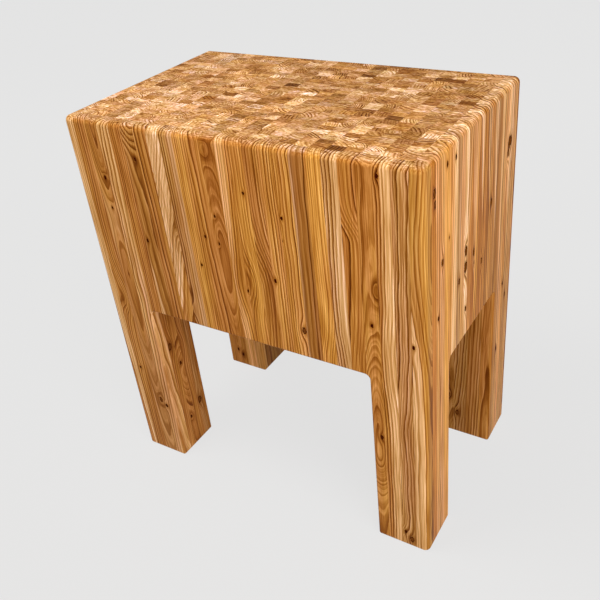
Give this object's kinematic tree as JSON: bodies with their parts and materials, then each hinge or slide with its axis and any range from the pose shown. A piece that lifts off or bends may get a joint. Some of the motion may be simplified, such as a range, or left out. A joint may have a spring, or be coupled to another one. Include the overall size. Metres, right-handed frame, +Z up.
{
  "type": "butcher's block table",
  "caption": "Heavy rectangular end-grain chopping block on square corner legs, glued up from upright staves of warm brown hardwood with rounded rims.",
  "frame": {"origin": "on the floor under the middle of the table", "axes": "+Z up from the floor to the work surface, +X along the long side to the right, -Y out of the long front face"},
  "size_m": [0.76, 0.468, 0.86],
  "materials": {
    "block_staves": "oiled hardwood, satin, end grain up on the work surface and long grain on the sides",
    "leg_staves": "oiled hardwood, satin, full-height staves with long grain on the sides"
  },
  "bodies": {
    "root": {"block_panel_01": "block_staves", "block_panel_02": "block_staves", "block_panel_03": "block_staves", "block_panel_04": "block_staves", "block_panel_05": "block_staves", "block_panel_06": "block_staves", "block_panel_07": "block_staves", "block_panel_08": "block_staves", "block_panel_09": "block_staves", "block_panel_10": "block_staves", "block_panel_11": "block_staves", "block_panel_12": "block_staves", "block_panel_13": "block_staves", "block_panel_14": "block_staves", "block_panel_15": "block_staves", "block_panel_16": "block_staves", "block_panel_17": "block_staves", "block_panel_18": "block_staves", "block_panel_19": "block_staves", "block_panel_20": "block_staves", "block_panel_21": "block_staves", "block_panel_22": "block_staves", "block_panel_23": "block_staves", "block_panel_24": "block_staves", "block_panel_25": "block_staves", "leg_front_left_panel_1": "leg_staves", "leg_front_left_panel_2": "leg_staves", "leg_front_left_panel_3": "leg_staves", "leg_front_left_panel_4": "leg_staves", "leg_front_right_panel_1": "leg_staves", "leg_front_right_panel_2": "leg_staves", "leg_front_right_panel_3": "leg_staves", "leg_front_right_panel_4": "leg_staves", "leg_back_left_panel_1": "leg_staves", "leg_back_left_panel_2": "leg_staves", "leg_back_left_panel_3": "leg_staves", "leg_back_left_panel_4": "leg_staves", "leg_back_right_panel_1": "leg_staves", "leg_back_right_panel_2": "leg_staves", "leg_back_right_panel_3": "leg_staves", "leg_back_right_panel_4": "leg_staves"}
  },
  "joints": []
}
